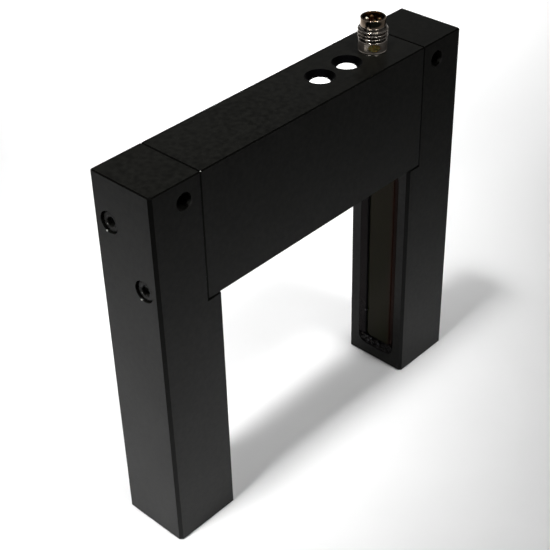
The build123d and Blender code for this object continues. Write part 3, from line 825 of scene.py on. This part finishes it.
def nickel_dulling_and_painted_reflections(tree, reach, height, cloud, tone, sheen):
    # Duller on the collar and the thread, and darker in the thread's roots. The barrel has a painted
    # warm reflection tint and a patch of painted dark reflection
    wall_top = bar_top + collar_height - 0.15 * mm
    barrel_foot = bar_top + cone_top
    up_from_base = rising(tree, height, bar_top + 0.22 * mm, bar_top + 0.30 * mm)
    on_collar = times(tree, falling(tree, height, wall_top, wall_top + 0.1 * mm), up_from_base)
    sheen = blend_values(tree, on_collar, sheen, collar_roughness)
    up_from_collar = rising(tree, height, wall_top + 0.2 * mm, wall_top + 0.3 * mm)
    below_cone = falling(tree, height, barrel_foot - 0.5 * mm, barrel_foot - 0.3 * mm)
    sheen = blend_values(tree, times(tree, up_from_collar, below_cone), sheen, thread_roughness)
    above_collar = rising(tree, height, wall_top, wall_top + 0.05 * mm)
    below_barrel = falling(tree, height, barrel_foot - 0.02 * mm, barrel_foot)
    in_root = falling(tree, reach, 3.62 * mm, 3.78 * mm)
    in_root = times(tree, in_root, times(tree, above_collar, below_barrel))
    # Darker in the thread's roots
    root_dark = times(tree, in_root, between(tree, cloud, 0.7, 1.0))
    tone = blend_colours(tree, root_dark, tone, root_dark_colour)
    # Painted reflection: a warm tint on the barrel
    on_barrel = rising(tree, height, barrel_foot, barrel_foot + 0.3 * mm)
    tinted = blend_colours(tree, 1.0, tone, barrel_reflection_tint, blend="MULTIPLY")
    tone = blend_colours(tree, on_barrel, tone, tinted)
    # Painted dark reflection in a patch on the barrel
    apart = reckon_vector(tree, "SUBTRACT", on_piece(tree), reflection_patch_place)
    scaled = reckon_vector(tree, "MULTIPLY", apart, tuple(1 / size for size in reflection_patch_size))
    reflection_patch = falling(tree, reckon_vector(tree, "LENGTH", scaled), 0.75, 1.05)
    return blend_colours(tree, reflection_patch, tone, reflection_patch_colour), sheen


def corner_arc(radius, height, start, end, size=edge_round, steps=4):
    # A rounded corner of the turned profile, about the point (radius, height)
    points = []
    for k in range(steps + 1):
        angle = math.radians(start + (end - start) * k / steps)
        points.append((radius + size * math.cos(angle), height + size * math.sin(angle)))
    return points


def thread_ridge(height):
    # One ridge of the thread, with a slightly rounded crest
    slope = 66
    flank = math.radians(slope)
    crest = thread_radius - crest_round
    foot = crest_half_flat + crest_round * math.sin(flank)
    foot += (thread_radius - neck_radius - crest_round * (1 - math.cos(flank))) / math.tan(flank)
    points = [(neck_radius, height - foot)]
    points += corner_arc(crest, height - crest_half_flat, -slope, 0, crest_round)
    points += corner_arc(crest, height + crest_half_flat, 0, slope, crest_round)
    return points + [(neck_radius, height + foot)]


def around_plug(radius, height, count=160):
    # A ring of points at a height over the crossbar
    loop = []
    for i in range(count):
        angle = 2 * math.pi * i / count
        x = plug_axis.x + radius * math.cos(angle)
        y = plug_axis.y + radius * math.sin(angle)
        loop.append(Vector((x, y, bar_top + height)))
    return loop


def plug_shell(name, finish):
    # Turned about the axis, from the bore of the stem up the outside and down the bore of the barrel
    profile = [(stem_bore_radius, stem_foot), (stem_radius, stem_foot)]
    profile += [(stem_radius, groove_low), (groove_floor, groove_low)]
    profile += [(groove_floor, groove_high), (stem_radius, groove_high)]
    profile += [(stem_radius, 0.0), (collar_radius - edge_round, 0.0)]
    profile += corner_arc(collar_radius - edge_round, edge_round, -70, 60)
    profile += [(collar_wall_radius, 0.32 * mm)]
    shoulder = (collar_wall_radius - collar_round, collar_height - collar_round)
    profile += corner_arc(*shoulder, 0, 85, size=collar_round, steps=6)
    profile += [(neck_radius + 0.05 * mm, collar_height), (neck_radius, collar_height + 0.05 * mm)]
    for height in ridge_heights:
        profile += thread_ridge(height)
    profile += [(neck_radius, cone_top - 0.1 * mm), (barrel_radius, cone_top)]
    profile += corner_arc(barrel_radius - edge_round, barrel_top - edge_round, 0, 90)
    profile += corner_arc(bore_radius + bore_round, barrel_top - bore_round, 90, 180, size=bore_round)
    profile += [(bore_radius, guide_foot), (stem_bore_radius, guide_foot)]
    loops = [around_plug(radius, height) for radius, height in profile]
    return skin(name, loops, finish, closed=True, crease=40)


def window_cutter(name, finish):
    # An oval bar that points out through the wall of the collar
    outward = Vector((math.cos(window_angle), math.sin(window_angle), 0))
    sideways = Vector((-math.sin(window_angle), math.cos(window_angle), 0))
    centre = Vector((plug_axis.x, plug_axis.y, bar_top + window_height))
    around = 64
    loops = []
    for reach in (2.6 * mm, 4.6 * mm):
        loop = []
        for i in range(around):
            angle = 2 * math.pi * i / around
            rise = Vector((0, 0, window_half_height * math.sin(angle)))
            loop.append(centre + outward * reach + sideways * window_half_width * math.cos(angle) + rise)
        loops.append(loop)
    return skin(name, loops, finish, capped=True)


def cut_away(piece, cutter):
    # Takes the cutter's solid out of the piece and removes the cutter
    cut = piece.modifiers.new("cut", "BOOLEAN")
    cut.object = cutter
    cut.solver = "EXACT"
    shown = bpy.context.evaluated_depsgraph_get()
    made = bpy.data.meshes.new_from_object(piece.evaluated_get(shown))
    piece.modifiers.clear()
    piece.data = made
    bpy.data.objects.remove(cutter)


nickel_finish = turned_metal("nickel_plating", nickel_colour, nickel_tarnish, 0.11, surface_marks=nickel_dulling_and_painted_reflections)
shell = plug_shell("plug_shell", nickel_finish)
cut_away(shell, window_cutter("window_cutter", nickel_finish))
shell.data.set_sharp_from_angle(angle=math.radians(40))
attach(shell, "root")
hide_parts("connector_shell")

amber_colour = (0.10, 0.08, 0.02)
amber_dark = (0.050, 0.040, 0.009)
amber_pale = (0.14, 0.105, 0.03)
insert_brown = (0.30, 0.068, 0.024)
ring_black = (0.018, 0.018, 0.018)


def amber_guide(name):
    # Clouded amber plastic, in which light scatters
    sockets = {"Subsurface Weight": 0.3, "Subsurface Scale": 0.6 * mm, "Coat Weight": 0.3}
    finish, tree, shader = new_finish(name, amber_colour, 0.22, sockets)
    flow = grain(tree, 0.7 * mm)
    tone = mottled(tree, flow, amber_dark, amber_pale)
    link_in(tree, shader, tone, bump=raised(tree, flow, 0.03 * mm))
    return finish


# A painted highlight on the tip of the pin that shows
pins_low, pins_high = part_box("contact_pins")
tip_glint_place = Vector((pins_low.x + 0.45 * mm, pins_high.y - 0.55 * mm, pins_high.z - 0.1 * mm))
tip_glint_spots = [(tip_glint_place, 0.5 * mm)]
gold_finish = turned_metal("gold_plating", gold_colour, gold_tarnish, 0.26, spots=tip_glint_spots)
dress(amber_guide("amber_guide"), "connector_light_guide")
dress(moulded("insert_moulding", insert_brown, 0.4, speckle=0.25), "connector_insert")
dress(gold_finish, "contact_pins")
dress(moulded("ring_rubber", ring_black, 0.75), "connector_seal_ring")


# The studio. A plain pale floor under the feet, which glows softly towards the back right, soft lamps
# above it, and a pale room that darkens towards its ceiling. The camera stands in front, to the left
# and above.

floor_size = 8.0
floor_drop = 0.05 * mm
paper_colour = (0.88, 0.88, 0.88)
paper_dark = (0.87, 0.87, 0.87)
paper_pale = (0.89, 0.89, 0.89)
faint_glow = 0.02
full_glow = 0.32
wall_grey = (0.5, 0.5, 0.5)
ceiling_grey = (0.07, 0.07, 0.07)

floor_shape = bmesh.new()
bmesh.ops.create_grid(floor_shape, x_segments=8, y_segments=8, size=floor_size / 2)
floor_mesh = bpy.data.meshes.new("floor")
floor_shape.to_mesh(floor_mesh)
floor_shape.free()
floor = bpy.data.objects.new("floor", floor_mesh)
floor.location.z = -floor_drop
bpy.context.scene.collection.objects.link(floor)

matt = {"Specular IOR Level": 0.0, "Emission Color": (1, 1, 1, 1)}
floor_finish, floor_tree, floor_shader = new_finish("pale_paper", paper_colour, 0.9, matt)
paper = mottled(floor_tree, grain(floor_tree, 40 * mm), paper_dark, paper_pale)

# The glow shows to the camera, in metal and through clear plastic, and lights nothing else
path = add_node(floor_tree, "ShaderNodeLightPath")
straight = reckon(floor_tree, "ADD", path.outputs["Is Camera Ray"], path.outputs["Is Glossy Ray"])
shown = reckon(floor_tree, "ADD", straight, path.outputs["Is Transmission Ray"], use_clamp=True)
ground = add_node(floor_tree, "ShaderNodeSeparateXYZ", {0: on_piece(floor_tree)})
rightward = rising(floor_tree, ground.outputs["X"], 0.02, 0.12)
backward = rising(floor_tree, ground.outputs["Y"], -0.06, 0.04)
sweep = times(floor_tree, rightward, backward)
glow = between(floor_tree, sweep, faint_glow, full_glow, 0.0, 1.0)
link_in(floor_tree, floor_shader, paper)
floor_tree.links.new(times(floor_tree, shown, glow), floor_shader.inputs["Emission Strength"])
floor_mesh.materials.append(floor_finish)

world = bpy.data.worlds.new("room")
world.use_nodes = True
bpy.context.scene.world = world
room = world.node_tree
heading = add_node(room, "ShaderNodeTexCoord").outputs["Generated"]
rise = add_node(room, "ShaderNodeSeparateXYZ", {0: heading}).outputs["Z"]
overhead = rising(room, rise, math.sin(math.radians(6)), math.sin(math.radians(24)))
wall_to_ceiling = blend_colours(room, overhead, wall_grey, ceiling_grey)
room.links.new(wall_to_ceiling, room.nodes["Background"].inputs["Color"])


def lamp(name, place, aim, size, power, spread):
    # A round soft box with a grid, which keeps its light within the spread
    light = bpy.data.lights.new(name, "AREA")
    light.shape = "DISK"
    light.size = size
    light.energy = power
    light.spread = math.radians(spread)
    made = bpy.data.objects.new(name, light)
    made.location = place
    made.rotation_mode = "QUATERNION"
    made.rotation_quaternion = (Vector(aim) - Vector(place)).to_track_quat("-Z", "Y")
    bpy.context.scene.collection.objects.link(made)


lamp("left_lamp", (-0.34, 0.036, 1.05), (-0.028, 0.036, 0), size=0.20, power=0.165, spread=17)
lamp("front_lamp", (0.04, -0.38, 1.08), (-0.02, 0.16, 0), size=0.34, power=0.21, spread=22)
lamp("back_lamp", (0.30, 0.40, 1.0), (0.24, 0.24, 0), size=0.30, power=0.36, spread=23)

camera_place = Vector((-0.2077, -0.1932, 0.2586))
camera_aim = Vector((-0.0074, 0, 0.0561))
camera_roll = math.radians(1.62)
lens = bpy.data.cameras.new("camera")
lens.sensor_width = 36
lens.lens = 84.2
lens.clip_start = 0.01
lens.clip_end = 50
camera = bpy.data.objects.new("camera", lens)
camera.location = camera_place
camera.rotation_mode = "QUATERNION"
look = (camera_aim - camera_place).normalized()
camera.rotation_quaternion = Quaternion(look, camera_roll) @ look.to_track_quat("-Z", "Y")
bpy.context.scene.collection.objects.link(camera)
bpy.context.scene.camera = camera
bpy.context.scene.view_settings.view_transform = "Standard"
